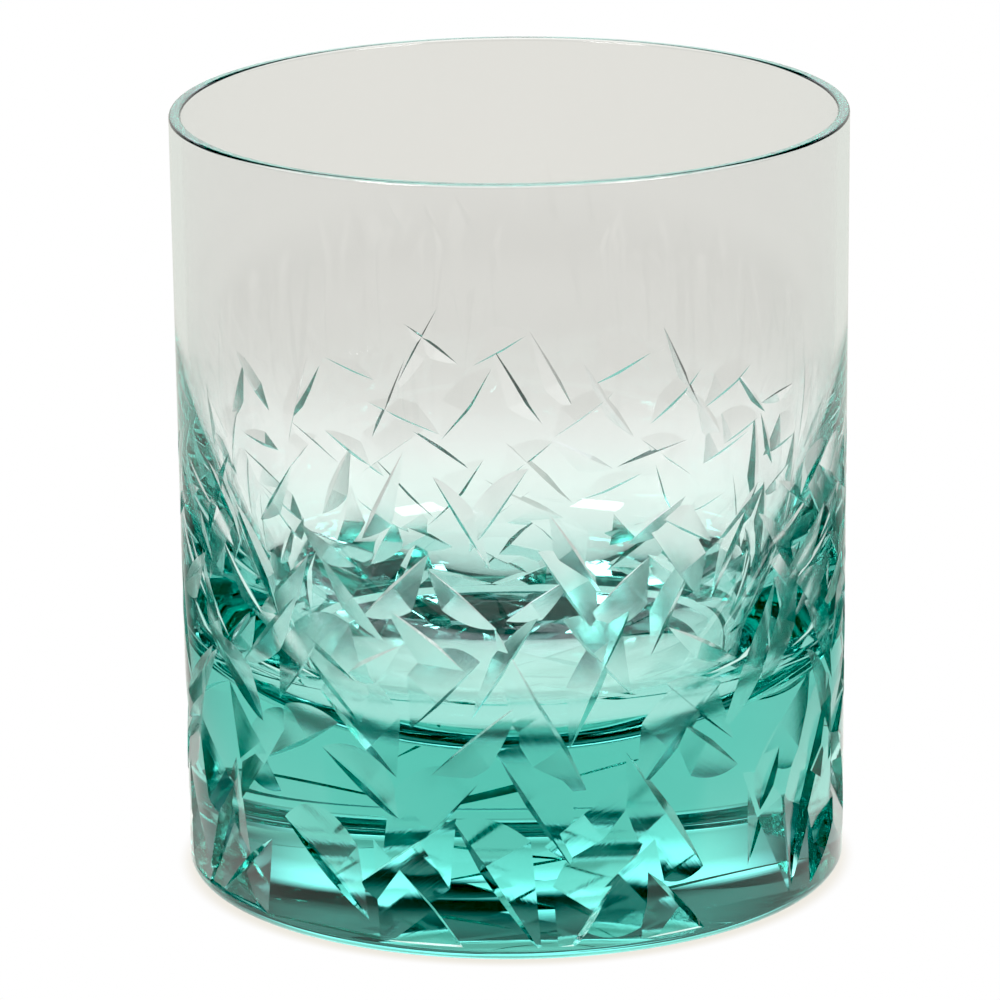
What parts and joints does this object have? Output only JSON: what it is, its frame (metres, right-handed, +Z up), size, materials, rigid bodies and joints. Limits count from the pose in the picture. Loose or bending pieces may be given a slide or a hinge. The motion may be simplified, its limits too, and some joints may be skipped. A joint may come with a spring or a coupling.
{
  "type": "whiskey tumbler",
  "caption": "Straight-sided whiskey tumbler in aquamarine glass: a thin drinking wall on a thick, heavy base, with shard-like wheel cuts all round the lower half.",
  "frame": {"origin": "middle of the foot ring, on the surface that the glass stands on", "axes": "+Z up along the glass's own axis, from the foot to the lip; +X and +Y are any two bearings round it, as the cut pattern has no front"},
  "size_m": [0.084, 0.084, 0.097],
  "materials": {
    "thin_glass": "fire polished at the lip, wheel cut and polished below, pale where it is thin",
    "thick_glass": "wheel cut and polished, deep aquamarine where it is thick"
  },
  "bodies": {
    "root": {"bowl": "thin_glass", "base": "thick_glass"}
  },
  "joints": []
}
